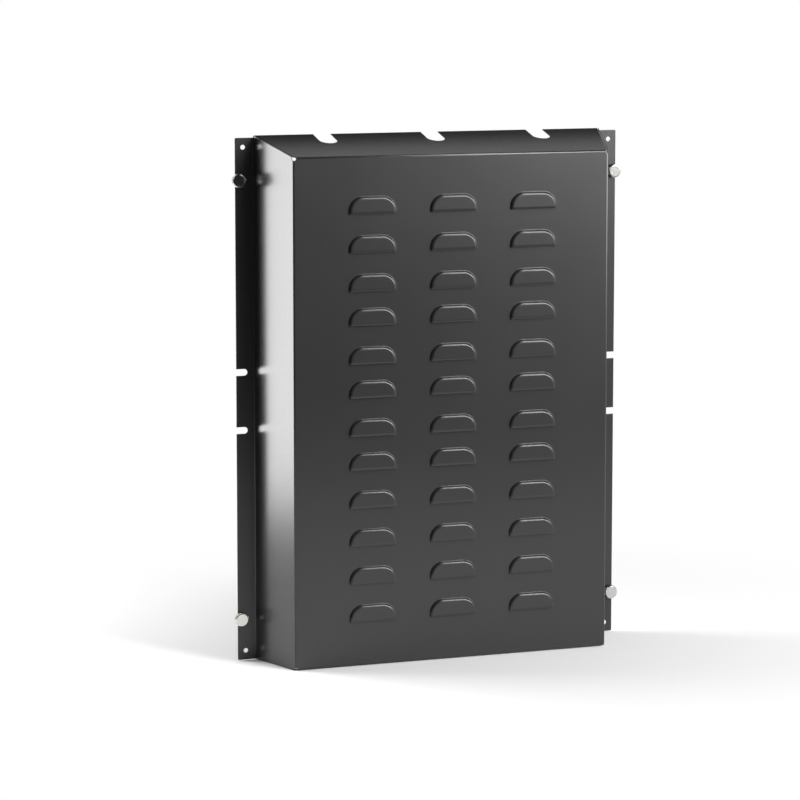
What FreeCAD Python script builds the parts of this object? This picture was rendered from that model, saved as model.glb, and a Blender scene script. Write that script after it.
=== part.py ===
"""Extended rear panel: a louvred pan folded from one steel sheet, held on by four thumbscrews.

Frame: +Z up, +X to the right for someone facing the louvres, +Y from the face into the rack, flange backs
on the plane y = 0. The origin is the centre of the four corner holes, on the flange backs. Millimetres.
"""

import FreeCAD, Part
import math
import os

import Sketcher

doc = FreeCAD.newDocument("extended_rear_panel")

# Driving dimensions

DIMENSIONS = {
    # the sheet and its folds
    "sheet_thickness": 1.2,
    "bend_radius": 1.2,
    "seam_gap": 0.9,
    "relief_diameter": 6.0,
    "relief_depth": 4.0,
    # the pan: overall sizes, and how far its walls lean from the flanges to the face
    "panel_width": 564.0,
    "pan_depth": 92.4,
    "side_lean": 25.8,
    "top_drop": 25.2,
    # the two flanges
    "flange_width": 26.2,
    "flange_height": 719.0,
    "flange_corner": 2.0,
    "top_rise": 2.7,
    "bottom_drop": 0.5,
    # corner holes, measured from the flange's outer edge and its ends
    "hole_diameter": 6.6,
    "hole_side_inset": 11.3,
    "hole_end_inset": 12.7,
    # open notches in the flange edges
    "notch_height": 9.2,
    "notch_depth": 16.0,
    "middle_notch_spacing": 80.0,
    # cable slots in the top wall, open to the back
    "slot_width": 25.4,
    "slot_depth": 38.0,
    "slot_spacing": 157.0,
    # louvres
    "louvre_columns": 3,
    "louvre_column_pitch": 117.6,
    "louvre_row_pitch": 52.4,
    "louvre_close_pitch": 46.3,
    "louvre_margin": 61.4,
    "louvre_width": 68.0,
    "louvre_length": 23.0,
    "louvre_corner": 19.5,
    "louvre_stand": 4.0,
    "louvre_draft": 35.0,
    # thumbscrews
    "screw_end_inset": 57.5,
    "screw_edge_distance": 4.0,
    "head_diameter": 19.0,
    "head_height": 8.2,
    "head_chamfer": 0.8,
    "shank_diameter": 6.0,
    "shank_length": 16.0,
}

sheet = doc.addObject("Spreadsheet::Sheet", "dims")
for row, (alias, number) in enumerate(DIMENSIONS.items(), start=1):
    sheet.set(f"A{row}", alias)
    sheet.set(f"B{row}", str(number))
    sheet.setAlias(f"B{row}", alias)
doc.recompute()

# Places that several features share, as expressions of the sheet

SHEET = "dims.sheet_thickness"
OUTER_BEND = f"({SHEET} + dims.bend_radius)"
HALF_PANEL = "(dims.panel_width / 2)"
HALF_MOUTH = f"({HALF_PANEL} - dims.flange_width)"
SIDE_SLOPE = f"(dims.side_lean / (dims.pan_depth - {SHEET}))"
TOP_SLOPE = f"(dims.top_drop / (dims.pan_depth - {SHEET}))"
SIDE_WALL = f"({SHEET} * sqrt(1 + {SIDE_SLOPE} ^ 2))"
TOP_WALL = f"({SHEET} * sqrt(1 + {TOP_SLOPE} ^ 2))"
HALF_FLANGE = "(dims.flange_height / 2)"
TOP_BACK = f"({HALF_FLANGE} + dims.top_rise)"
BOTTOM = f"(-{HALF_FLANGE} - dims.bottom_drop)"
FACE = "(-dims.pan_depth)"
FACE_INSIDE = f"({FACE} + {SHEET})"


def side_outside(y):
    """Half width over the side walls at depth y."""
    return f"({HALF_MOUTH} + {SIDE_SLOPE} * ({y} + {SHEET}))"


def side_inside(y):
    """Half width between the side walls at depth y."""
    return f"({side_outside(y)} - {SIDE_WALL})"


def top_outside(y):
    """Height of the top wall's outer surface at depth y."""
    return f"({TOP_BACK} + {TOP_SLOPE} * ({y} + {SHEET}))"


def top_inside(y):
    """Height of the top wall's inner surface at depth y."""
    return f"({top_outside(y)} - {TOP_WALL})"


def size(expression):
    """The present value of an expression of the sheet."""
    return float(sheet.evalExpression(expression.replace("dims.", "")))


# Sketches whose every corner is bound to the sheet

WHOLE_TURN = 2 * math.pi


def origin_feature(body, role):
    return next(item for item in body.Origin.OriginFeatures if item.Role == role)


def new_sketch(body, name, role, offset=None):
    sketch = body.newObject("Sketcher::SketchObject", name)
    sketch.AttachmentSupport = [(origin_feature(body, role), "")]
    sketch.MapMode = "FlatFace"
    if offset:
        sketch.setExpression("AttachmentOffset.Base.z", offset)
    return sketch


def bind(sketch, kind, geometry, point, expression):
    index = sketch.addConstraint(Sketcher.Constraint(kind, -1, 1, geometry, point, size(expression)))
    sketch.setExpression(f"Constraints[{index}]", expression)


def pin(sketch, geometry, point, across, up):
    """Holds a sketch point at two expressions, or on an axis where one is zero."""
    if across == "0":
        sketch.addConstraint(Sketcher.Constraint("PointOnObject", geometry, point, -2))
    else:
        bind(sketch, "DistanceX", geometry, point, across)
    if up == "0":
        sketch.addConstraint(Sketcher.Constraint("PointOnObject", geometry, point, -1))
    else:
        bind(sketch, "DistanceY", geometry, point, up)


def arc_between(start, end, axis, coordinate):
    """The arc that runs anticlockwise from start to end, its centre at that coordinate along the axis."""
    chord = end - start
    middle = start + chord * 0.5
    left = FreeCAD.Vector(-chord.y, chord.x, 0)
    along = {"x": (coordinate - middle.x, left.x), "y": (coordinate - middle.y, left.y)}[axis]
    centre = middle + left * (along[0] / along[1])
    first = math.atan2(start.y - centre.y, start.x - centre.x)
    last = math.atan2(end.y - centre.y, end.x - centre.x)
    circle = Part.Circle(centre, FreeCAD.Vector(0, 0, 1), (start - centre).Length)
    return Part.ArcOfCircle(circle, first, last if last > first else last + WHOLE_TURN)


def outline(sketch, corners, rounds=None):
    """A closed outline through the corners, anticlockwise; rounds gives the sides that are arcs."""
    rounds = rounds or {}
    points = [FreeCAD.Vector(size(across), size(up), 0) for across, up in corners]
    first = sketch.GeometryCount
    count = len(corners)
    for side in range(count):
        start = points[side]
        end = points[(side + 1) % count]
        if side in rounds:
            axis, centre = rounds[side]
            sketch.addGeometry(arc_between(start, end, axis, size(centre)), False)
        else:
            sketch.addGeometry(Part.LineSegment(start, end), False)
    for side, (across, up) in enumerate(corners):
        following = first + (side + 1) % count
        sketch.addConstraint(Sketcher.Constraint("Coincident", first + side, 2, following, 1))
        pin(sketch, first + side, 1, across, up)
    for side, (axis, centre) in rounds.items():
        bind(sketch, "DistanceX" if axis == "x" else "DistanceY", first + side, 3, centre)


def round_hole(sketch, across, up, diameter):
    centre = FreeCAD.Vector(size(across), size(up), 0)
    circle = Part.Circle(centre, FreeCAD.Vector(0, 0, 1), size(diameter) / 2)
    geometry = sketch.addGeometry(circle, False)
    pin(sketch, geometry, 3, across, up)
    index = sketch.addConstraint(Sketcher.Constraint("Diameter", geometry, size(diameter)))
    sketch.setExpression(f"Constraints[{index}]", diameter)


# Features on a body

def pad(body, name, sketch, length, reverse=False):
    feature = body.newObject("PartDesign::Pad", name)
    feature.Profile = sketch
    feature.setExpression("Length", length)
    feature.Reversed = reverse
    doc.recompute()
    return feature


def cut_through(body, name, sketch, sides="Symmetric", reverse=False):
    """Cuts the sketch right through, and makes sure that it took metal away."""
    before = body.Shape.Volume
    feature = body.newObject("PartDesign::Pocket", name)
    feature.Profile = sketch
    feature.Type = "ThroughAll"
    feature.SideType = sides
    feature.Reversed = reverse
    doc.recompute()
    if not body.Shape.Volume < before:
        raise RuntimeError(f"{name} cut nothing")
    return feature


def round_edges(body, name, radius, wanted):
    """Fillets the edges of the body that are wanted."""
    base = body.Tip
    names = []
    for index, edge in enumerate(base.Shape.Edges, start=1):
        if wanted(edge):
            names.append(f"Edge{index}")
    feature = body.newObject("PartDesign::Fillet", name)
    feature.Base = (base, names)
    feature.setExpression("Radius", radius)
    doc.recompute()
    return feature


def near(a, b):
    return abs(a - b) < 1e-4


def ends(edge):
    return [vertex.Point for vertex in edge.Vertexes]


def wedge(body, kind, name, limits):
    feature = body.newObject(kind, name)
    for side, expression in limits.items():
        feature.setExpression(side, expression)
    doc.recompute()
    return feature


# The pan: a tapered tray, open at the back, with its flanges folded outwards

pan = doc.addObject("PartDesign::Body", "pan")

wedge(pan, "PartDesign::AdditiveWedge", "pan_outside", {
    "Ymin": FACE,
    "Ymax": "0",
    "Xmin": f"-{side_outside(FACE)}",
    "Xmax": side_outside(FACE),
    "Zmin": BOTTOM,
    "Zmax": top_outside(FACE),
    "X2min": f"-{side_outside('0')}",
    "X2max": side_outside("0"),
    "Z2min": BOTTOM,
    "Z2max": top_outside("0"),
})
wedge(pan, "PartDesign::SubtractiveWedge", "pan_inside", {
    "Ymin": FACE_INSIDE,
    "Ymax": SHEET,
    "Xmin": f"-{side_inside(FACE_INSIDE)}",
    "Xmax": side_inside(FACE_INSIDE),
    "Zmin": f"{BOTTOM} + {SHEET}",
    "Zmax": top_inside(FACE_INSIDE),
    "X2min": f"-{side_inside(SHEET)}",
    "X2max": side_inside(SHEET),
    "Z2min": f"{BOTTOM} + {SHEET}",
    "Z2max": top_inside(SHEET),
})

flange_root = f"({HALF_MOUTH} - {SHEET} / 2)"
flange_low = f"({BOTTOM} - {OUTER_BEND})"
flange_high = f"({TOP_BACK} + {OUTER_BEND})"
flange_sketch = new_sketch(pan, "flange_outlines", "XZ_Plane")
for left, right in ((flange_root, HALF_PANEL), (f"-{HALF_PANEL}", f"-{flange_root}")):
    outline(flange_sketch, [
        (left, flange_low),
        (right, flange_low),
        (right, flange_high),
        (left, flange_high),
    ])
pad(pan, "flanges", flange_sketch, SHEET)

# Round reliefs where two folds meet at a corner of the face

relief_sketch = new_sketch(pan, "corner_reliefs", "XZ_Plane", "dims.pan_depth - dims.relief_depth")
relief_across = f"({side_outside(FACE)} - {OUTER_BEND} / 2)"
for across in (relief_across, f"-{relief_across}"):
    round_hole(relief_sketch, across, f"({top_outside(FACE)} - {OUTER_BEND} / 2)", "dims.relief_diameter")
    round_hole(relief_sketch, across, f"({BOTTOM} + {OUTER_BEND} / 2)", "dims.relief_diameter")
cut_through(pan, "corner_relief_cuts", relief_sketch, "One side", True)


# Folds: the outer radius on the convex side of each bend, the inner one on the other

def upright(edge, across, depth):
    """Whether an edge stands at that half width and depth, on either side."""
    first, last = ends(edge)
    at_place = all(near(abs(p.x), size(across)) and near(p.y, size(depth)) for p in (first, last))
    return at_place and near(first.x, last.x)


def round_the_face(edge, depth):
    """Whether an edge is a straight side of the face, on its outer or its inner surface."""
    return isinstance(edge.Curve, Part.Line) and all(near(p.y, size(depth)) for p in ends(edge))


def outer_bend(edge):
    return round_the_face(edge, FACE) or upright(edge, side_inside("0"), "0")


def inner_bend(edge):
    return round_the_face(edge, FACE_INSIDE) or upright(edge, HALF_MOUTH, f"-{SHEET}")


round_edges(pan, "outer_bends", OUTER_BEND, outer_bend)
round_edges(pan, "inner_bends", "dims.bend_radius", inner_bend)

# Ends of the side walls, level with the top and bottom walls

over_low = f"({flange_low} - {SHEET})"
over_high = f"({flange_high} + {SHEET})"
fold_front = f"(-2 * {OUTER_BEND})"
wall_end_sketch = new_sketch(pan, "side_wall_ends", "YZ_Plane")
outline(wall_end_sketch, [
    (fold_front, top_outside(fold_front)),
    (SHEET, top_outside(SHEET)),
    (SHEET, over_high),
    (fold_front, over_high),
])
outline(wall_end_sketch, [(fold_front, over_low), (SHEET, over_low), (SHEET, BOTTOM), (fold_front, BOTTOM)])
cut_through(pan, "side_wall_end_cuts", wall_end_sketch)

# Flange ends, square to the flange and rounded at their outer corners

end_root = side_outside("0")
over_side = f"({HALF_PANEL} + {SHEET})"
end_sketch = new_sketch(pan, "flange_ends", "XZ_Plane")
for left, right in ((end_root, over_side), (f"-{over_side}", f"-{end_root}")):
    for low, high in ((HALF_FLANGE, over_high), (over_low, f"-{HALF_FLANGE}")):
        outline(end_sketch, [(left, low), (right, low), (right, high), (left, high)])
cut_through(pan, "flange_end_cuts", end_sketch)


def flange_corner(edge):
    first, last = ends(edge)
    at_corner = near(abs(first.x), size(HALF_PANEL)) and near(abs(first.z), size(HALF_FLANGE))
    return at_corner and near(first.x, last.x) and near(first.z, last.z)


round_edges(pan, "flange_corners", "dims.flange_corner", flange_corner)

# Corner holes, and the open notches for the thumbscrews and at mid height

hole_sketch = new_sketch(pan, "flange_openings", "XZ_Plane")
hole_across = f"({HALF_PANEL} - dims.hole_side_inset)"
hole_up = f"({HALF_FLANGE} - dims.hole_end_inset)"
notch_end = f"({HALF_PANEL} - dims.notch_depth + dims.notch_height / 2)"
screw_up = f"({HALF_FLANGE} - dims.screw_end_inset)"
middle_up = "(dims.middle_notch_spacing / 2)"
for up in (hole_up, f"-{hole_up}"):
    for across in (hole_across, f"-{hole_across}"):
        round_hole(hole_sketch, across, up, "dims.hole_diameter")
for level in (screw_up, middle_up, f"-{middle_up}", f"-{screw_up}"):
    low = f"({level} - dims.notch_height / 2)"
    high = f"({level} + dims.notch_height / 2)"
    right_notch = [(notch_end, low), (over_side, low), (over_side, high), (notch_end, high)]
    outline(hole_sketch, right_notch, {3: ("x", notch_end)})
    left_end = f"-{notch_end}"
    left_notch = [(f"-{over_side}", low), (left_end, low), (left_end, high), (f"-{over_side}", high)]
    outline(hole_sketch, left_notch, {1: ("x", left_end)})
cut_through(pan, "flange_opening_cuts", hole_sketch)

# Open seams that run back from the reliefs, between the side walls and the top and bottom walls

seam_front = f"({FACE} + {OUTER_BEND})"
seam_back = SHEET
seam_sketch = new_sketch(pan, "corner_seams", "XY_Plane")
seam_sides = [(side_inside(seam_front), seam_front), (side_inside(seam_back), seam_back)]
outline(seam_sketch, [
    *seam_sides,
    (f"({side_inside(seam_back)} - dims.seam_gap)", seam_back),
    (f"({side_inside(seam_front)} - dims.seam_gap)", seam_front),
])
outline(seam_sketch, [
    (f"-{side_inside(seam_front)}", seam_front),
    (f"(dims.seam_gap - {side_inside(seam_front)})", seam_front),
    (f"(dims.seam_gap - {side_inside(seam_back)})", seam_back),
    (f"-{side_inside(seam_back)}", seam_back),
])
cut_through(pan, "corner_seam_cuts", seam_sketch)

# Cable slots in the top wall, round at the front and open at the back edge

slot_sketch = new_sketch(pan, "cable_slots", "XY_Plane")
slot_end = "(dims.slot_width / 2 - dims.slot_depth)"
for middle in ("-dims.slot_spacing", "0", "dims.slot_spacing"):
    left = f"({middle} - dims.slot_width / 2)"
    right = f"({middle} + dims.slot_width / 2)"
    corners = [(left, slot_end), (right, slot_end), (right, SHEET), (left, SHEET)]
    outline(slot_sketch, corners, {0: ("y", slot_end)})
cut_through(pan, "cable_slot_cuts", slot_sketch, "One side", True)


# Louvres: drawn hoods with an open lip, in rows up the face, repeated in columns across it

LOUVRE_ROWS = 12
CLOSE_ROWS = (5, 7, 9)
FIRST_COLUMN = "(-dims.louvre_column_pitch * (dims.louvre_columns - 1) / 2)"


def lip_level(row):
    """Height of a row's lips; the close rows stand nearer to the row below them than the others do."""
    close = sum(1 for number in CLOSE_ROWS if number <= row)
    wide = row - close
    first = f"{BOTTOM} + dims.louvre_margin"
    return f"({first} + {wide} * dims.louvre_row_pitch + {close} * dims.louvre_close_pitch)"


def hood_outline(sketch, lip, inset):
    """The plan of a hood with a skirt below its lip: square below, with two large round corners above."""
    left = f"({FIRST_COLUMN} - dims.louvre_width / 2 + {inset})"
    right = f"({FIRST_COLUMN} + dims.louvre_width / 2 - {inset})"
    low = f"({lip} - 2 * dims.louvre_stand)"
    top = f"({lip} + dims.louvre_length - {inset})"
    corner_left = f"({FIRST_COLUMN} - dims.louvre_width / 2 + dims.louvre_corner)"
    corner_right = f"({FIRST_COLUMN} + dims.louvre_width / 2 - dims.louvre_corner)"
    corner_low = f"({lip} + dims.louvre_length - dims.louvre_corner)"
    corners = [
        (left, low),
        (right, low),
        (right, corner_low),
        (corner_right, top),
        (corner_left, top),
        (left, corner_low),
    ]
    outline(sketch, corners, {2: ("x", corner_right), 4: ("x", corner_left)})


def repeat_in_columns(body, name):
    pattern = body.newObject("PartDesign::LinearPattern", name)
    pattern.TransformMode = "Whole shape"
    pattern.Direction = (origin_feature(body, "X_Axis"), [""])
    pattern.Mode = "Extent"
    pattern.setExpression("Length", "dims.louvre_column_pitch * (dims.louvre_columns - 1)")
    pattern.setExpression("Occurrences", "dims.louvre_columns")
    body.Tip = pattern
    doc.recompute()


def drawn_forms(body, plane, inset, stand):
    """Blocks with drafted sides and upright lips, drawn out of the face from a plane before the origin."""
    plan = new_sketch(body, f"{body.Name}_plan", "XZ_Plane", plane)
    lips = new_sketch(body, f"{body.Name}_lip_plan", "XZ_Plane", plane)
    left = f"({FIRST_COLUMN} - dims.louvre_width)"
    right = f"({FIRST_COLUMN} + dims.louvre_width)"
    for row in range(LOUVRE_ROWS):
        lip = lip_level(row)
        low = f"({lip} - 3 * dims.louvre_stand)"
        hood_outline(plan, lip, inset)
        outline(lips, [(left, low), (right, low), (right, lip), (left, lip)])
    block = pad(body, f"{body.Name}_block", plan, stand)
    block.setExpression("TaperAngle", "-dims.louvre_draft")
    doc.recompute()
    cut_through(body, f"{body.Name}_lips", lips)
    repeat_in_columns(body, f"{body.Name}_columns")


hoods = doc.addObject("PartDesign::Body", "louvre_hoods")
drawn_forms(hoods, "dims.pan_depth", "0", "dims.louvre_stand")
hollows = doc.addObject("PartDesign::Body", "louvre_hollows")
wall_inset = f"({SHEET} / cos(dims.louvre_draft) - {SHEET} * tan(dims.louvre_draft))"
drawn_forms(hollows, f"dims.pan_depth - {SHEET}", wall_inset, "dims.louvre_stand")

hooded = doc.addObject("Part::Fuse", "hooded_pan")
hooded.Base = pan
hooded.Tool = hoods
rear_panel = doc.addObject("Part::Cut", "rear_panel")
rear_panel.Base = hooded
rear_panel.Tool = hollows
rear_panel.Refine = True
rear_panel.Label = "rear_panel"
doc.recompute()


# Thumbscrews: turned in one piece, the head bearing on the flange and the shank in an open notch

def thumbscrew(name, side, level):
    body = doc.addObject("PartDesign::Body", name)
    sketch = new_sketch(body, f"{name}_profile", "XY_Plane")
    head = "(dims.head_diameter / 2)"
    shank = "(dims.shank_diameter / 2)"
    outline(sketch, [
        ("0", "-dims.head_height"),
        (f"({head} - dims.head_chamfer)", "-dims.head_height"),
        (head, "(dims.head_chamfer - dims.head_height)"),
        (head, "0"),
        (shank, "0"),
        (shank, "dims.shank_length"),
        ("0", "dims.shank_length"),
    ])
    turned = body.newObject("PartDesign::Revolution", f"{name}_turned")
    turned.Profile = sketch
    turned.ReferenceAxis = (sketch, ["V_Axis"])
    turned.Angle = 360
    body.Label = name
    body.setExpression("Placement.Base.x", f"{side} * ({HALF_PANEL} - dims.screw_edge_distance)")
    body.setExpression("Placement.Base.y", f"-{SHEET}")
    body.setExpression("Placement.Base.z", f"{level} * {screw_up}")
    doc.recompute()
    return body


screws = [
    thumbscrew("thumbscrew_top_left", -1, 1),
    thumbscrew("thumbscrew_top_right", 1, 1),
    thumbscrew("thumbscrew_bottom_left", -1, -1),
    thumbscrew("thumbscrew_bottom_right", 1, -1),
]

# Every object has to be sound before anything is written

sub_parts = [rear_panel, *screws]
for item in doc.Objects:
    if "Invalid" in item.State or "Error" in item.State:
        raise RuntimeError(f"{item.Name} failed: {item.State}")
for part in sub_parts:
    if part.Shape.isNull() or not part.Shape.isValid() or len(part.Shape.Solids) != 1:
        raise RuntimeError(f"{part.Label} is not one sound solid")

os.makedirs("parts", exist_ok=True)
for part in sub_parts:
    part.Shape.exportStep(f"parts/{part.Label}.step")
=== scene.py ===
"""Extended rear panel: the dressed model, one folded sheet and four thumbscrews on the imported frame."""

import math

import bmesh
import bpy
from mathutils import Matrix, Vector


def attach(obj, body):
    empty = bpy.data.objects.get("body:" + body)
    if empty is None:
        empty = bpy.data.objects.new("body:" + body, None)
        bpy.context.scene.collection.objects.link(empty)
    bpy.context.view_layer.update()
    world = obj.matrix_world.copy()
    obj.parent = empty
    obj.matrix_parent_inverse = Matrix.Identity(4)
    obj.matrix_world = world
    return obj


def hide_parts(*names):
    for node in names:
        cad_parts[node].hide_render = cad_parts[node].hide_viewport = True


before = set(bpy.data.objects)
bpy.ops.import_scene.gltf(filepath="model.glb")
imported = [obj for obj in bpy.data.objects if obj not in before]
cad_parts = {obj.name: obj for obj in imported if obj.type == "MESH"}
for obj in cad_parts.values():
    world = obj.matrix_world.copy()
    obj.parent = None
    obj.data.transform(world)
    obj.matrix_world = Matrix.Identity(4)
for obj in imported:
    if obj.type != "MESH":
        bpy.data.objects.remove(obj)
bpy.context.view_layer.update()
scene = bpy.context.scene

# Powder coat
# Satin black polyester powder, sprayed on the folded panel and baked: a slow-flowing film with a fine
# orange peel, and a gloss that varies a little from place to place.

powder_coat = bpy.data.materials.new("powder_coat")
powder_coat.use_nodes = True
nodes = powder_coat.node_tree.nodes
links = powder_coat.node_tree.links
paint = nodes["Principled BSDF"]
paint.inputs["Base Color"].default_value = (0.019, 0.019, 0.02, 1.0)
paint.inputs["IOR"].default_value = 1.52
coat_place = nodes.new("ShaderNodeTexCoord").outputs["Object"]
peel = nodes.new("ShaderNodeTexNoise")
peel.inputs["Scale"].default_value = 520.0
peel.inputs["Detail"].default_value = 2.0
peel_bump = nodes.new("ShaderNodeBump")
peel_bump.inputs["Strength"].default_value = 0.5
peel_bump.inputs["Distance"].default_value = 0.0001
gloss = nodes.new("ShaderNodeTexNoise")
gloss.inputs["Scale"].default_value = 7.0
gloss.inputs["Detail"].default_value = 4.0
gloss_range = nodes.new("ShaderNodeMapRange")
gloss_range.inputs["To Min"].default_value = 0.21
gloss_range.inputs["To Max"].default_value = 0.26
links.new(coat_place, peel.inputs["Vector"])
links.new(peel.outputs["Fac"], peel_bump.inputs["Height"])
links.new(peel_bump.outputs["Normal"], paint.inputs["Normal"])
links.new(coat_place, gloss.inputs["Vector"])
links.new(gloss.outputs["Fac"], gloss_range.inputs["Value"])
links.new(gloss_range.outputs["Result"], paint.inputs["Roughness"])

# Louvres
# Lanced and drawn out of the flat sheet, one press stroke each: a round-cornered hood with a soft foot and
# shoulder, closed above and at the sides, open along the sheared lip below. Three columns of twelve, with
# three rows set closer.

louvre_columns = 3
louvre_rows = 12
close_rows = (5, 7, 9)
column_pitch = 117.6
row_pitch = 52.4
close_pitch = 46.3
first_lip = -298.6
face_y = -92.4
hood_half_width = 34.0
hood_length = 23.0
hood_corner = 19.5
hood_stand = 4.0
hood_slope = math.radians(75.0)
foot_radius = 0.8
foot_steps = 5
shoulder_radius = 3.4
shoulder_steps = 8
corner_steps = 10
crown_land = 0.9
rim_width = 1.0

foot_start = -foot_radius * math.tan(hood_slope / 2)
crown_start = hood_stand / math.tan(hood_slope) + shoulder_radius * math.tan(hood_slope / 2)
hood_profile = []
for step in range(foot_steps + 1):
    angle = hood_slope * step / foot_steps
    hood_profile.append((foot_start + foot_radius * math.sin(angle), foot_radius * (1 - math.cos(angle))))
for step in range(shoulder_steps + 1):
    angle = hood_slope * (1 - step / shoulder_steps)
    rise = hood_stand - shoulder_radius * (1 - math.cos(angle))
    hood_profile.append((crown_start - shoulder_radius * math.sin(angle), rise))
hood_profile.append((crown_start + crown_land, hood_stand))


def hood_line(inset):
    """The plan of a hood from lip end to lip end, drawn in by the inset."""
    radius = hood_corner - inset
    centre_x = hood_half_width - hood_corner
    centre_z = hood_length - hood_corner
    line = [(-centre_x - radius, 0.0)]
    for side, first in ((-1, math.pi), (1, math.pi / 2)):
        for step in range(corner_steps + 1):
            angle = first - math.pi / 2 * step / corner_steps
            line.append((side * centre_x + radius * math.cos(angle), centre_z + radius * math.sin(angle)))
    line.append((centre_x + radius, 0.0))
    return line


hood = bmesh.new()
rings = []
for inset, rise in hood_profile:
    line = hood_line(inset)
    rings.append([hood.verts.new((x / 1000, (face_y - rise) / 1000, z / 1000)) for x, z in line])
last_point = len(rings[0]) - 1
for outer, inner in zip(rings, rings[1:]):
    for point in range(last_point):
        hood.faces.new((outer[point], outer[point + 1], inner[point + 1], inner[point]))
crown = rings[-1]
for point in range(last_point // 2):
    opposite = last_point - point
    hood.faces.new((crown[point], crown[point + 1], crown[opposite - 1], crown[opposite]))
hood_rim = hood_line(foot_start - rim_width)
hood_rim[0] = (hood_rim[0][0], -rim_width)
hood_rim[-1] = (hood_rim[-1][0], -rim_width)
rim_ring = [hood.verts.new((x / 1000, face_y / 1000, z / 1000)) for x, z in hood_rim]
for point in range(last_point + 1):
    hood.faces.new((rim_ring[point - 1], rim_ring[point], rings[0][point], rings[0][point - 1]))
hood_mesh = bpy.data.meshes.new("louvre_hood")
hood.to_mesh(hood_mesh)
hood.free()


def calculate(tree, operation, first, second=None):
    """A maths node fed by sockets or plain numbers; gives its result socket."""
    node = tree.nodes.new("ShaderNodeMath")
    node.operation = operation
    for socket, value in zip(node.inputs, (first, second)):
        if isinstance(value, (int, float)):
            socket.default_value = value
        elif value is not None:
            tree.links.new(value, socket)
    return node.outputs["Value"]


grid_tree = bpy.data.node_groups.new("louvre_grid", "GeometryNodeTree")
grid_inputs = {}
for name, kind in (
    ("Geometry", "NodeSocketGeometry"),
    ("Columns", "NodeSocketInt"),
    ("Rows", "NodeSocketInt"),
    ("Column Pitch", "NodeSocketFloat"),
    ("Row Pitch", "NodeSocketFloat"),
    ("Close Pitch", "NodeSocketFloat"),
    ("First Lip", "NodeSocketFloat"),
    ("Material", "NodeSocketMaterial"),
):
    grid_inputs[name] = grid_tree.interface.new_socket(name, in_out="INPUT", socket_type=kind)
grid_tree.interface.new_socket("Geometry", in_out="OUTPUT", socket_type="NodeSocketGeometry")
nodes = grid_tree.nodes
links = grid_tree.links
given = nodes.new("NodeGroupInput").outputs
number = nodes.new("GeometryNodeInputIndex").outputs["Index"]
column = calculate(grid_tree, "MODULO", number, given["Columns"])
row = calculate(grid_tree, "FLOOR", calculate(grid_tree, "DIVIDE", number, given["Columns"]))
middle = calculate(grid_tree, "DIVIDE", calculate(grid_tree, "SUBTRACT", given["Columns"], 1.0), 2.0)
from_middle = calculate(grid_tree, "SUBTRACT", column, middle)
across = calculate(grid_tree, "MULTIPLY", from_middle, given["Column Pitch"])
even_rise = calculate(grid_tree, "MULTIPLY", row, given["Row Pitch"])
level = calculate(grid_tree, "ADD", even_rise, given["First Lip"])
drawn_together = calculate(grid_tree, "SUBTRACT", given["Row Pitch"], given["Close Pitch"])
for close_row in close_rows:
    above = calculate(grid_tree, "GREATER_THAN", row, close_row - 0.5)
    level = calculate(grid_tree, "SUBTRACT", level, calculate(grid_tree, "MULTIPLY", above, drawn_together))
spots = nodes.new("GeometryNodeMeshLine")
spots.inputs["Offset"].default_value = (0.0, 0.0, 0.0)
spread = nodes.new("GeometryNodeSetPosition")
offset = nodes.new("ShaderNodeCombineXYZ")
press = nodes.new("GeometryNodeInstanceOnPoints")
realize = nodes.new("GeometryNodeRealizeInstances")
finish = nodes.new("GeometryNodeSetMaterial")
group_out = nodes.new("NodeGroupOutput")
links.new(calculate(grid_tree, "MULTIPLY", given["Columns"], given["Rows"]), spots.inputs["Count"])
links.new(across, offset.inputs["X"])
links.new(level, offset.inputs["Z"])
links.new(spots.outputs["Mesh"], spread.inputs["Geometry"])
links.new(offset.outputs["Vector"], spread.inputs["Offset"])
links.new(spread.outputs["Geometry"], press.inputs["Points"])
links.new(given["Geometry"], press.inputs["Instance"])
links.new(press.outputs["Instances"], realize.inputs["Geometry"])
links.new(realize.outputs["Geometry"], finish.inputs["Geometry"])
links.new(given["Material"], finish.inputs["Material"])
links.new(finish.outputs["Geometry"], group_out.inputs["Geometry"])

grid_object = bpy.data.objects.new("louvre_grid", hood_mesh)
scene.collection.objects.link(grid_object)
grid_modifier = grid_object.modifiers.new("louvre_grid", "NODES")
grid_modifier.node_group = grid_tree
for name, value in (
    ("Columns", louvre_columns),
    ("Rows", louvre_rows),
    ("Column Pitch", column_pitch / 1000),
    ("Row Pitch", row_pitch / 1000),
    ("Close Pitch", close_pitch / 1000),
    ("First Lip", first_lip / 1000),
    ("Material", powder_coat),
):
    grid_modifier[grid_inputs[name].identifier] = value
bpy.context.view_layer.update()
laid_out = grid_object.evaluated_get(bpy.context.evaluated_depsgraph_get())
grid_mesh = bpy.data.meshes.new_from_object(laid_out)
bpy.data.objects.remove(grid_object)

# Rear panel
# One sheet of 1.2 mm steel, cut and louvred flat, then folded in a press brake into a pan with leaning
# walls, round corner reliefs, open corner seams and two flanges; powder coated after folding.

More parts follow.
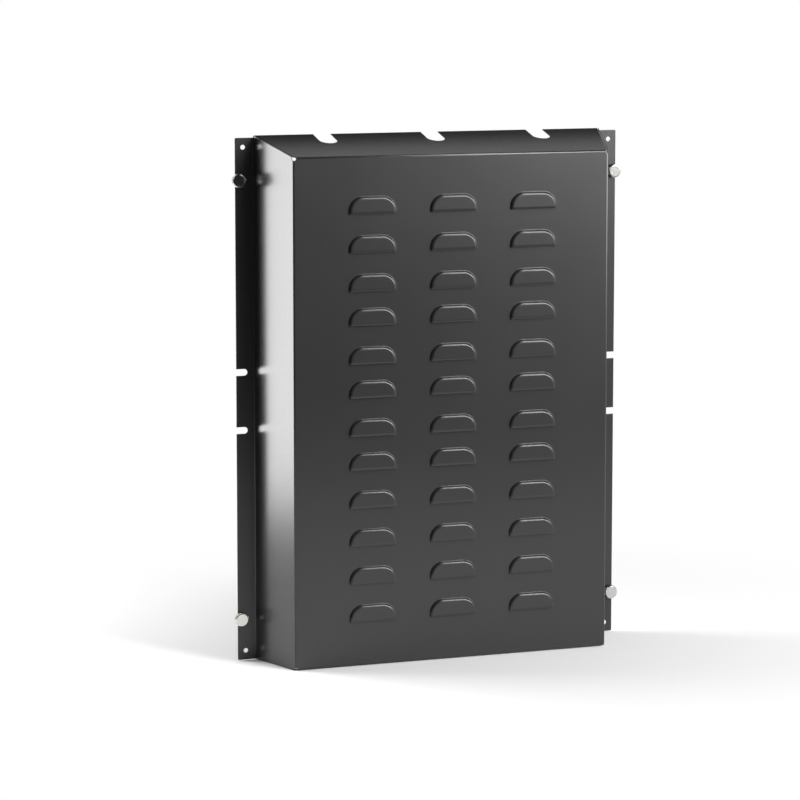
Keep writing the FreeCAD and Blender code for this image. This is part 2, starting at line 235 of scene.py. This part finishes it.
sheet_thickness = 1.2
outer_bend = 2.4
inner_bend = 1.2
outer_bend_steps = 8
inner_bend_steps = 6
band_width = 0.6
side_root = 255.8
side_slope = 25.8 / 91.2
top_root = 362.2
top_slope = 25.2 / 91.2
side_turn = math.pi / 2 - math.atan(side_slope)
top_turn = math.pi / 2 - math.atan(top_slope)
bend_y = face_y + outer_bend
bottom_z = -360.0
wall_back = -0.35
seam_gap = 0.9
relief_radius = 3.0
relief_steps = 5
relief_x = 228.8
relief_top_z = 335.8
relief_bottom_z = -358.8
relief_end_y = -88.4
slot_radius = 12.7
slot_steps = 20
slot_centre_y = -25.3
slot_middles = (157.0, 0.0, -157.0)
flange_y = -1.2
flange_half_height = 359.5
flange_edge = 282.0
flange_corner = 2.0
flange_corner_steps = 6
hole_x = 270.7
hole_z = 346.8
hole_radius = 3.3
hole_points = 24
notch_x = 270.6
notch_radius = 4.6
notch_steps = 14
notch_levels = (-302.0, -40.0, 40.0, 302.0)
edge_break = 0.22

skin = bmesh.new()
skin.from_mesh(grid_mesh)
bpy.data.meshes.remove(grid_mesh)


def side_x(y):
    """Half width over the side walls at depth y."""
    return side_root + side_slope * (y + sheet_thickness)


def top_z(y):
    """Height of the top wall at depth y."""
    return top_root + top_slope * (y + sheet_thickness)


def relief_reach(offset):
    """How far the round of a relief reaches at an offset from its centre."""
    return math.sqrt(relief_radius ** 2 - offset ** 2)


def arc(centre, radius, first, last, steps):
    """Points on a circle from one angle to another, in degrees."""
    made = []
    for step in range(steps + 1):
        angle = math.radians(first + (last - first) * step / steps)
        made.append((centre[0] + radius * math.cos(angle), centre[1] + radius * math.sin(angle)))
    return made


def mirrored(edge):
    """The same edge on the other side of the middle, run backwards."""
    return [(-x, along) for x, along in reversed(edge)]


def drawn_in(loop):
    """The loop moved into the metal on its left by the width of the edge band."""
    moved = []
    for index, here in enumerate(loop):
        before = (Vector(here) - Vector(loop[index - 1])).normalized()
        after = (Vector(loop[(index + 1) % len(loop)]) - Vector(here)).normalized()
        left_before = Vector((-before.y, before.x))
        left_after = Vector((-after.y, after.x))
        mitre = (left_before + left_after) / (1 + left_before.dot(left_after))
        moved.append(Vector(here) + mitre * band_width)
    return moved


def flat_region(loops, to_space, openings=()):
    """Fills a flat part of the sheet: metal on the left of each loop, a narrow band of quads along it."""
    edges = []
    for opening in openings:
        around = [skin.verts.new(Vector(to_space(*p)) / 1000) for p in opening]
        for index in range(len(opening)):
            edges.append(skin.edges.new((around[index - 1], around[index])))
    for loop in loops:
        rim = [skin.verts.new(Vector(to_space(*p)) / 1000) for p in loop]
        inside = [skin.verts.new(Vector(to_space(*p)) / 1000) for p in drawn_in(loop)]
        for index in range(len(loop)):
            skin.faces.new((rim[index - 1], rim[index], inside[index], inside[index - 1]))
            edges.append(skin.edges.get((inside[index - 1], inside[index])))
    bmesh.ops.triangle_fill(skin, use_beauty=True, edges=edges)


def fold(stations):
    """A bend as a strip of quads through pairs of end points."""
    pairs = [[skin.verts.new(Vector(p) / 1000) for p in pair] for pair in stations]
    for (low_a, high_a), (low_b, high_b) in zip(pairs, pairs[1:]):
        skin.faces.new((low_a, high_a, high_b, low_b))


def level_bend(turn, start_z, sense, relief_z):
    """The bend from the face to the top or bottom wall, between its reliefs; gives the end at the wall."""
    stations = []
    for step in range(outer_bend_steps + 1):
        angle = turn * step / outer_bend_steps
        y = bend_y - outer_bend * math.cos(angle)
        z = start_z + sense * outer_bend * math.sin(angle)
        x = relief_x - relief_reach(z - relief_z)
        stations.append(((-x, y, z), (x, y, z)))
    fold(stations)
    return stations[-1][1]


# face, round its louvres
face_x = side_x(face_y) - outer_bend * math.tan(side_turn / 2)
face_top = top_z(face_y) - outer_bend * math.tan(top_turn / 2)
face_bottom = bottom_z + outer_bend
right_edge = []
for centre_z, level, sign in ((relief_bottom_z, face_bottom, 1), (relief_top_z, face_top, -1)):
    at_line = math.degrees(math.atan2(level - centre_z, -relief_reach(level - centre_z)))
    at_side = math.degrees(math.atan2(sign * relief_reach(face_x - relief_x), face_x - relief_x))
    angles = (at_line, at_side) if sign > 0 else (at_side, at_line)
    right_edge += arc((relief_x, centre_z), relief_radius, *angles, relief_steps)
louvre_rims = []
for row in range(louvre_rows):
    closer = sum(row >= close for close in close_rows) * (row_pitch - close_pitch)
    lip = first_lip + row * row_pitch - closer
    for column in range(louvre_columns):
        middle = (column - (louvre_columns - 1) / 2) * column_pitch
        louvre_rims.append([(middle + x, lip + z) for x, z in hood_rim])
flat_region([right_edge + mirrored(right_edge)], lambda x, z: (x, face_y, z), louvre_rims)

# top bend and top wall, with the cable slots open to the back
wall_front = level_bend(top_turn, face_top, 1, relief_top_z)
leaning_thickness = sheet_thickness * math.hypot(1, side_slope)
seam_front, seam_back = [side_x(y) - leaning_thickness - seam_gap for y in (relief_end_y, wall_back)]
right_edge = [
    wall_front[:2],
    (relief_x - relief_reach(top_z(relief_end_y) - relief_top_z), relief_end_y),
    (seam_front, relief_end_y),
    (seam_back, wall_back),
]
slots = []
for middle in slot_middles:
    slots.append((middle + slot_radius, wall_back))
    slots += arc((middle, slot_centre_y), slot_radius, 0, -180, slot_steps)
    slots.append((middle - slot_radius, wall_back))
flat_region([right_edge + slots + mirrored(right_edge)], lambda x, y: (x, y, top_z(y)))

# bottom bend and bottom wall
wall_front = level_bend(math.pi / 2, face_bottom, -1, relief_bottom_z)
right_edge = [
    wall_front[:2],
    (wall_front[0], relief_end_y),
    (seam_front, relief_end_y),
    (seam_back, wall_back),
]
flat_region([right_edge + mirrored(right_edge)], lambda x, y: (x, y, bottom_z))

# side bends, side walls, flange folds and flanges
flange_x = side_x(flange_y) + inner_bend * math.tan(side_turn / 2)
for side in (-1, 1):
    stations = []
    for step in range(outer_bend_steps + 1):
        angle = side_turn * step / outer_bend_steps
        x = face_x + outer_bend * math.sin(angle)
        y = bend_y - outer_bend * math.cos(angle)
        reach = relief_reach(x - relief_x)
        stations.append(((side * x, y, relief_bottom_z + reach), (side * x, y, relief_top_z - reach)))
    fold(stations)
    front = stations[-1]

    stations = []
    for step in range(inner_bend_steps + 1):
        angle = side_turn * (1 - step / inner_bend_steps)
        x = flange_x - inner_bend * math.sin(angle)
        y = flange_y - inner_bend * (1 - math.cos(angle))
        ends = (bottom_z, top_z(y)) if x < side_x(0.0) else (-flange_half_height, flange_half_height)
        stations.append(((side * x, y, ends[0]), (side * x, y, ends[1])))
    fold(stations)
    back = stations[0]

    end_reach = relief_reach(side_x(relief_end_y) - relief_x)
    wall_outline = [
        front[0][1:],
        (relief_end_y, relief_bottom_z + end_reach),
        (relief_end_y, bottom_z),
        back[0][1:],
        back[1][1:],
        (relief_end_y, top_z(relief_end_y)),
        (relief_end_y, relief_top_z - end_reach),
        front[1][1:],
    ]
    flat_region([wall_outline], lambda y, z: (side * side_x(y), y, z))

    corner = flange_edge - flange_corner
    corner_z = flange_half_height - flange_corner
    flange_outline = [(flange_x, -flange_half_height)]
    flange_outline += arc((corner, -corner_z), flange_corner, -90, 0, flange_corner_steps)
    for level in notch_levels:
        flange_outline.append((flange_edge, level - notch_radius))
        flange_outline += arc((notch_x, level), notch_radius, 270, 90, notch_steps)
        flange_outline.append((flange_edge, level + notch_radius))
    flange_outline += arc((corner, corner_z), flange_corner, 0, 90, flange_corner_steps)
    flange_outline.append((flange_x, flange_half_height))
    holes = []
    for level in (-hole_z, hole_z):
        holes.append(arc((hole_x, level), hole_radius, 360, 360 / hole_points, hole_points - 1))
    flat_region([flange_outline, *holes], lambda x, z: (side * x, flange_y, z))

bmesh.ops.remove_doubles(skin, verts=skin.verts, dist=1e-6)
bmesh.ops.recalc_face_normals(skin, faces=skin.faces)
skin.faces.ensure_lookup_table()
crown_y = (face_y - hood_stand) / 1000
facing = next(face for face in skin.faces if face.calc_center_median().y < crown_y + 1e-6)
if facing.normal.y > 0:
    bmesh.ops.reverse_faces(skin, faces=skin.faces)
skin_mesh = bpy.data.meshes.new("panel_skin")
skin.to_mesh(skin_mesh)
skin.free()

panel_former = bpy.data.objects.new("panel_former", skin_mesh)
scene.collection.objects.link(panel_former)
gauge = panel_former.modifiers.new("gauge", "SOLIDIFY")
gauge.thickness = sheet_thickness / 1000
gauge.offset = -1.0
gauge.use_even_offset = True
gauge.use_quality_normals = True
broken_edges = panel_former.modifiers.new("broken_edges", "BEVEL")
broken_edges.width = edge_break / 1000
broken_edges.segments = 2
broken_edges.limit_method = "ANGLE"
broken_edges.angle_limit = math.radians(50)
bpy.context.view_layer.update()
formed = panel_former.evaluated_get(bpy.context.evaluated_depsgraph_get())
panel_mesh = bpy.data.meshes.new_from_object(formed)
bpy.data.objects.remove(panel_former)
panel_mesh.name = "rear_panel_sheet"
panel_mesh.materials.clear()
panel_mesh.materials.append(powder_coat)
panel_mesh.shade_smooth()
panel_mesh.set_sharp_from_angle(angle=math.radians(40))
panel = bpy.data.objects.new("rear_panel_sheet", panel_mesh)
scene.collection.objects.link(panel)
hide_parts("rear_panel")
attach(panel, "panel")

# Thumbscrews
# Turned from bar in one piece, straight-knurled round the grip, face and collar polished, then nickel
# plated; the collar bears on the flange and the threaded shank passes through an open notch into the rail.

screw_x = 278.0
screw_z = 302.0
knurls = 44
knurl_depth = 0.38
head_radius = 9.5
head_face = -8.2
collar_front = -1.2
collar_radius = 6.5
core_radius = 2.62
shank_end = 16.0
thread_turns = 13.0
thread_length = 13.0
thread_start = 1.6
thread_radius = 2.68
ridge_radius = 0.32
tool_mark_pitch = 0.22
tooth = ((0.0, 0.0), (0.22, 0.0), (0.48, 1.0), (0.74, 1.0), (1.0, 0.0))
knurl_root = head_radius - knurl_depth
turned_profile = [
    (0.0, head_face, 0.0),
    (7.4, head_face, 0.0),
    (8.25, head_face, 0.0),
    (8.45, head_face + 0.06, 0.0),
    (knurl_root - 0.1, head_face + 0.62, 0.0),
    (knurl_root, head_face + 0.8, 0.15),
    (knurl_root, head_face + 1.15, 1.0),
    (knurl_root, collar_front - 0.9, 1.0),
    (knurl_root, collar_front - 0.55, 0.15),
    (knurl_root - 0.1, collar_front - 0.4, 0.0),
    (knurl_root - 0.5, collar_front, 0.0),
    (collar_radius + 0.2, collar_front, 0.0),
    (collar_radius, collar_front + 0.1, 0.0),
    (collar_radius, -0.15, 0.0),
    (collar_radius - 0.15, 0.0, 0.0),
    (core_radius, 0.0, 0.0),
    (core_radius, shank_end - 0.7, 0.0),
    (core_radius - 0.72, shank_end, 0.0),
    (0.0, shank_end, 0.0),
]
sector = bmesh.new()
rows = []
for radius, along, knurled in turned_profile:
    row = []
    for share, height in tooth:
        angle = 2 * math.pi * share / knurls
        reach = (radius + knurl_depth * height * knurled) / 1000
        row.append(sector.verts.new((reach * math.cos(angle), along / 1000, reach * math.sin(angle))))
    rows.append(row)
for first, second in zip(rows, rows[1:]):
    for index in range(len(tooth) - 1):
        sector.faces.new((first[index], first[index + 1], second[index + 1], second[index]))
bmesh.ops.remove_doubles(sector, verts=sector.verts, dist=1e-7)
bmesh.ops.dissolve_degenerate(sector, dist=1e-7, edges=sector.edges)
sector_mesh = bpy.data.meshes.new("turned_sector")
sector.to_mesh(sector_mesh)
sector.free()

screw_tree = bpy.data.node_groups.new("thumbscrew", "GeometryNodeTree")
screw_inputs = {}
for name, kind in (
    ("Geometry", "NodeSocketGeometry"),
    ("Knurls", "NodeSocketInt"),
    ("Place", "NodeSocketVector"),
    ("Material", "NodeSocketMaterial"),
):
    screw_inputs[name] = screw_tree.interface.new_socket(name, in_out="INPUT", socket_type=kind)
screw_tree.interface.new_socket("Geometry", in_out="OUTPUT", socket_type="NodeSocketGeometry")
nodes = screw_tree.nodes
links = screw_tree.links
given = nodes.new("NodeGroupInput").outputs
number = nodes.new("GeometryNodeInputIndex").outputs["Index"]
sector_angle = calculate(screw_tree, "DIVIDE", -2 * math.pi, given["Knurls"])
points = nodes.new("GeometryNodeMeshLine")
points.inputs["Offset"].default_value = (0.0, 0.0, 0.0)
rotation = nodes.new("ShaderNodeCombineXYZ")
round_axis = nodes.new("GeometryNodeInstanceOnPoints")
realize = nodes.new("GeometryNodeRealizeInstances")
weld = nodes.new("GeometryNodeMergeByDistance")
weld.inputs["Distance"].default_value = 2e-6
helix = nodes.new("GeometryNodeCurveSpiral")
helix.inputs["Resolution"].default_value = 20
helix.inputs["Rotations"].default_value = thread_turns
helix.inputs["Start Radius"].default_value = thread_radius / 1000
helix.inputs["End Radius"].default_value = thread_radius / 1000
helix.inputs["Height"].default_value = thread_length / 1000
ridge = nodes.new("GeometryNodeCurvePrimitiveCircle")
ridge.inputs["Resolution"].default_value = 4
ridge.inputs["Radius"].default_value = ridge_radius / 1000
thread = nodes.new("GeometryNodeCurveToMesh")
thread.inputs["Fill Caps"].default_value = True
lay_down = nodes.new("GeometryNodeTransform")
lay_down.inputs["Rotation"].default_value = (-math.pi / 2, 0.0, 0.0)
lay_down.inputs["Translation"].default_value = (0.0, thread_start / 1000, 0.0)
together = nodes.new("GeometryNodeJoinGeometry")
spot = nodes.new("GeometryNodeInputPosition")
keep = nodes.new("GeometryNodeStoreNamedAttribute")
keep.data_type = "FLOAT_VECTOR"
keep.inputs["Name"].default_value = "turned"
move = nodes.new("GeometryNodeTransform")
finish = nodes.new("GeometryNodeSetMaterial")
group_out = nodes.new("NodeGroupOutput")
links.new(given["Knurls"], points.inputs["Count"])
links.new(points.outputs["Mesh"], round_axis.inputs["Points"])
links.new(given["Geometry"], round_axis.inputs["Instance"])
links.new(calculate(screw_tree, "MULTIPLY", number, sector_angle), rotation.inputs["Y"])
links.new(rotation.outputs["Vector"], round_axis.inputs["Rotation"])
links.new(round_axis.outputs["Instances"], realize.inputs["Geometry"])
links.new(realize.outputs["Geometry"], weld.inputs["Geometry"])
links.new(helix.outputs["Curve"], thread.inputs["Curve"])
links.new(ridge.outputs["Curve"], thread.inputs["Profile Curve"])
links.new(thread.outputs["Mesh"], lay_down.inputs["Geometry"])
links.new(weld.outputs["Geometry"], together.inputs["Geometry"])
links.new(lay_down.outputs["Geometry"], together.inputs["Geometry"])
links.new(together.outputs["Geometry"], keep.inputs["Geometry"])
links.new(spot.outputs["Position"], keep.inputs["Value"])
links.new(keep.outputs["Geometry"], move.inputs["Geometry"])
links.new(given["Place"], move.inputs["Translation"])
links.new(move.outputs["Geometry"], finish.inputs["Geometry"])
links.new(given["Material"], finish.inputs["Material"])
links.new(finish.outputs["Geometry"], group_out.inputs["Geometry"])

screw_plating = bpy.data.materials.new("screw_plating")
screw_plating.use_nodes = True
plating_tree = screw_plating.node_tree
nodes = plating_tree.nodes
links = plating_tree.links
plate = nodes["Principled BSDF"]
plate.inputs["Base Color"].default_value = (0.60, 0.585, 0.56, 1.0)
plate.inputs["Metallic"].default_value = 1.0
turned_place = nodes.new("ShaderNodeAttribute")
turned_place.attribute_name = "turned"
split = nodes.new("ShaderNodeSeparateXYZ")
links.new(turned_place.outputs["Vector"], split.inputs["Vector"])
across_squared, up_squared = [
    calculate(plating_tree, "MULTIPLY", split.outputs[axis], split.outputs[axis]) for axis in ("X", "Z")
]
from_axis = calculate(plating_tree, "SQRT", calculate(plating_tree, "ADD", across_squared, up_squared))
tool_path = calculate(plating_tree, "MULTIPLY", from_axis, 2 * math.pi / (tool_mark_pitch / 1000))
marks_bump = nodes.new("ShaderNodeBump")
marks_bump.inputs["Strength"].default_value = 0.05
marks_bump.inputs["Distance"].default_value = 0.00002
smear = nodes.new("ShaderNodeTexNoise")
smear.inputs["Scale"].default_value = 260.0
smear_range = nodes.new("ShaderNodeMapRange")
smear_range.inputs["To Min"].default_value = 0.07
smear_range.inputs["To Max"].default_value = 0.14
links.new(calculate(plating_tree, "SINE", tool_path), marks_bump.inputs["Height"])
links.new(marks_bump.outputs["Normal"], plate.inputs["Normal"])
links.new(turned_place.outputs["Vector"], smear.inputs["Vector"])
links.new(smear.outputs["Fac"], smear_range.inputs["Value"])
links.new(smear_range.outputs["Result"], plate.inputs["Roughness"])

for where, side, end in (
    ("top_left", -1, 1),
    ("top_right", 1, 1),
    ("bottom_left", -1, -1),
    ("bottom_right", 1, -1),
):
    former = bpy.data.objects.new("screw_former", sector_mesh)
    scene.collection.objects.link(former)
    turning = former.modifiers.new("thumbscrew", "NODES")
    turning.node_group = screw_tree
    seat = (side * screw_x / 1000, flange_y / 1000, end * screw_z / 1000)
    for name, value in (("Knurls", knurls), ("Place", seat), ("Material", screw_plating)):
        turning[screw_inputs[name].identifier] = value
    bpy.context.view_layer.update()
    turned = former.evaluated_get(bpy.context.evaluated_depsgraph_get())
    screw_mesh = bpy.data.meshes.new_from_object(turned)
    bpy.data.objects.remove(former)
    screw_mesh.name = f"thumbscrew_{where}_turned"
    screw_mesh.shade_smooth()
    screw_mesh.set_sharp_from_angle(angle=math.radians(25))
    screw = bpy.data.objects.new(f"thumbscrew_{where}_turned", screw_mesh)
    scene.collection.objects.link(screw)
    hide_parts(f"thumbscrew_{where}")
    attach(screw, f"screw_{where}")

# Floor
# A wide white studio floor just under the panel's bottom wall: matt near the panel, where it takes the soft
# shadow, and washed out to plain white farther off.

floor_half = 60.0
floor_gap = 0.0004
floor_level = bottom_z / 1000 - floor_gap
floor_corners = []
for side, end in ((-1, -1), (1, -1), (1, 1), (-1, 1)):
    floor_corners.append((side * floor_half, end * floor_half, floor_level))
floor_mesh = bpy.data.meshes.new("floor")
floor_mesh.from_pydata(floor_corners, [], [(0, 1, 2, 3)])
floor = bpy.data.objects.new("floor", floor_mesh)
scene.collection.objects.link(floor)
floor_paint = bpy.data.materials.new("floor_paint")
floor_paint.use_nodes = True
nodes = floor_paint.node_tree.nodes
links = floor_paint.node_tree.links
matt = nodes["Principled BSDF"]
matt.inputs["Base Color"].default_value = (0.82, 0.82, 0.82, 1.0)
matt.inputs["Roughness"].default_value = 0.9
matt.inputs["Specular IOR Level"].default_value = 0.1
washed = nodes.new("ShaderNodeEmission")
washed.inputs["Color"].default_value = (1.0, 1.0, 1.0, 1.0)
washed.inputs["Strength"].default_value = 1.0
floor_place = nodes.new("ShaderNodeTexCoord")
from_panel = nodes.new("ShaderNodeVectorMath")
from_panel.operation = "LENGTH"
fade = nodes.new("ShaderNodeMapRange")
fade.interpolation_type = "SMOOTHSTEP"
fade.inputs["From Min"].default_value = 0.42
fade.inputs["From Max"].default_value = 1.02
mix = nodes.new("ShaderNodeMixShader")
links.new(floor_place.outputs["Object"], from_panel.inputs[0])
links.new(from_panel.outputs["Value"], fade.inputs["Value"])
links.new(fade.outputs["Result"], mix.inputs[0])
links.new(matt.outputs["BSDF"], mix.inputs[1])
links.new(washed.outputs["Emission"], mix.inputs[2])
links.new(mix.outputs["Shader"], nodes["Material Output"].inputs["Surface"])
floor_mesh.materials.append(floor_paint)

# Studio light
# A white surround up to just above the horizon; a bank low at the back left for the side wall, soft boxes
# front right, high up and right for face and louvres, and a weak one behind for the top wall. Black flags,
# which the camera doesn't see, shade the left, the camera's side, the floor before it and the back.

fill_strength = 0.36
world = bpy.data.worlds.new("studio")
scene.world = world
world.use_nodes = True
world_tree = world.node_tree
nodes = world_tree.nodes
links = world_tree.links
room = nodes["Background"]
room.inputs["Color"].default_value = (1.0, 1.0, 1.0, 1.0)
direction = nodes.new("ShaderNodeTexCoord")
up = nodes.new("ShaderNodeSeparateXYZ")
surround = nodes.new("ShaderNodeMapRange")
surround.interpolation_type = "SMOOTHSTEP"
surround.inputs["From Min"].default_value = 0.2
surround.inputs["From Max"].default_value = 0.45
surround.inputs["To Min"].default_value = 1.0
surround.inputs["To Max"].default_value = 0.03
links.new(direction.outputs["Generated"], up.inputs["Vector"])
links.new(up.outputs["Z"], surround.inputs["Value"])
path = nodes.new("ShaderNodeLightPath").outputs
seen = calculate(world_tree, "MAXIMUM", path["Is Camera Ray"], path["Is Glossy Ray"])
seen = calculate(world_tree, "MAXIMUM", seen, path["Is Transmission Ray"])
fill = calculate(world_tree, "MULTIPLY", calculate(world_tree, "SUBTRACT", 1.0, seen), fill_strength)
shown = calculate(world_tree, "MULTIPLY", seen, surround.outputs["Result"])
links.new(calculate(world_tree, "ADD", shown, fill), room.inputs["Strength"])

for name, place, aim, width, height, radiance in (
    ("left_bank", (-1.14, 0.67, 0.3), (-0.24, -0.05, 0.2), 0.8, 1.3, 9.0),
    ("front_box", (2.95, -4.3, 1.15), (0.2, 0.0, 0.2), 1.8, 1.8, 12.0),
    ("high_box", (1.5, -2.5, 2.3), (0.0, 0.0, 0.0), 1.0, 2.7, 11.5),
    ("right_box", (2.6, -1.9, 1.0), (0.0, 0.0, 0.0), 1.9, 0.9, 7.0),
    ("back_box", (1.4, 2.8, 2.7), (0.0, 0.0, 0.3), 1.6, 1.6, 0.6),
):
    lamp = bpy.data.lights.new(name, "AREA")
    lamp.shape = "RECTANGLE"
    lamp.size = width
    lamp.size_y = height
    lamp.energy = radiance * math.pi * width * height
    lamp_object = bpy.data.objects.new(name, lamp)
    lamp_object.location = place
    lamp_object.visible_camera = False
    lamp_object.rotation_euler = (Vector(aim) - Vector(place)).to_track_quat("-Z", "Y").to_euler()
    scene.collection.objects.link(lamp_object)

flag_cloth = bpy.data.materials.new("flag_cloth")
flag_cloth.use_nodes = True
cloth = flag_cloth.node_tree.nodes["Principled BSDF"]
cloth.inputs["Base Color"].default_value = (0.01, 0.01, 0.01, 1.0)
cloth.inputs["Roughness"].default_value = 1.0
cloth.inputs["Specular IOR Level"].default_value = 0.0
for name, corners in (
    ("left_flag", ((-1.3, -1.7, -0.36), (-1.3, 0.15, -0.36), (-1.3, 0.15, 1.3), (-1.3, -1.7, 1.3))),
    ("front_flag", ((-4.5, -5.6, -0.36), (2.0, -5.6, -0.36), (2.0, -5.6, 2.2), (-4.5, -5.6, 2.2))),
    ("rear_flag", ((0.6, 2.2, -0.36), (3.5, 2.2, -0.36), (3.5, 2.2, 0.9), (0.6, 2.2, 0.9))),
    ("top_flag", ((-0.45, 0.06, 0.37), (0.45, 0.06, 0.37), (0.45, 0.06, 0.425), (-0.45, 0.06, 0.425))),
    ("floor_flag", ((-4.5, -5.6, -0.355), (2.4, -5.6, -0.355), (2.4, -1.5, -0.355), (-4.5, -1.5, -0.355))),
):
    flag_mesh = bpy.data.meshes.new(name)
    flag_mesh.from_pydata(corners, [], [(0, 1, 2, 3)])
    flag_mesh.materials.append(flag_cloth)
    flag = bpy.data.objects.new(name, flag_mesh)
    flag.visible_camera = False
    scene.collection.objects.link(flag)

# Camera
# At the photograph's viewing angle: from the front left, a little above the panel, with a long lens.

camera = bpy.data.cameras.new("camera")
camera.lens = 150.48
camera.sensor_width = 36.0
camera.clip_end = 200.0
camera_object = bpy.data.objects.new("camera", camera)
camera_object.location = (-1.6843, -4.3037, 0.6236)
camera_object.rotation_euler = (math.radians(82.176), 0.0, math.radians(-20.879))
scene.collection.objects.link(camera_object)
scene.camera = camera_object
scene.view_settings.view_transform = "Standard"
